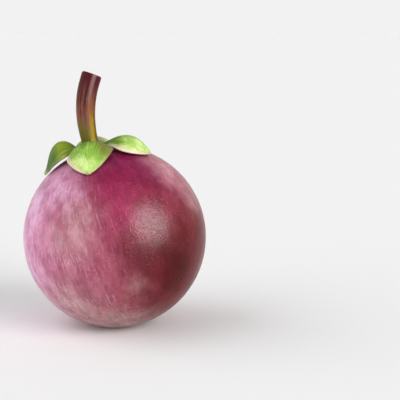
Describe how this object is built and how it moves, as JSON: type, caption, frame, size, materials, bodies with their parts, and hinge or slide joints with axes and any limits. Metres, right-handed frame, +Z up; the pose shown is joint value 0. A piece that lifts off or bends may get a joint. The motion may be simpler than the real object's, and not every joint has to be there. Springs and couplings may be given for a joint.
{
  "type": "mangosteen",
  "caption": "Whole ripe mangosteen: a round purple fruit with a bent woody stalk, a crown of green cupped sepals and a lobed rosette at its base.",
  "frame": {"origin": "centre of the small flat spot on which the fruit rests", "axes": "+Z up through the middle of the fruit, -X the way the stalk leans, -Y the side that the lowest sepal faces"},
  "size_m": [0.0602, 0.0598, 0.0842],
  "materials": {
    "rind": "smooth, semi-gloss, cloudy purple-pink rind with fine scratches",
    "stigma": "dry and matt, dark brown",
    "sepal_light": "waxy light green leaf tissue with pale margins",
    "sepal_dark": "waxy olive green leaf tissue with pale margins",
    "stalk": "semi-gloss maroon-brown bark, olive and yellow at the foot"
  },
  "bodies": {
    "root": {"fruit": "rind", "stigma": "stigma", "sepal_front": "sepal_light", "sepal_left": "sepal_dark", "sepal_right": "sepal_light", "sepal_back": "sepal_dark", "stem": "stalk"}
  },
  "joints": []
}
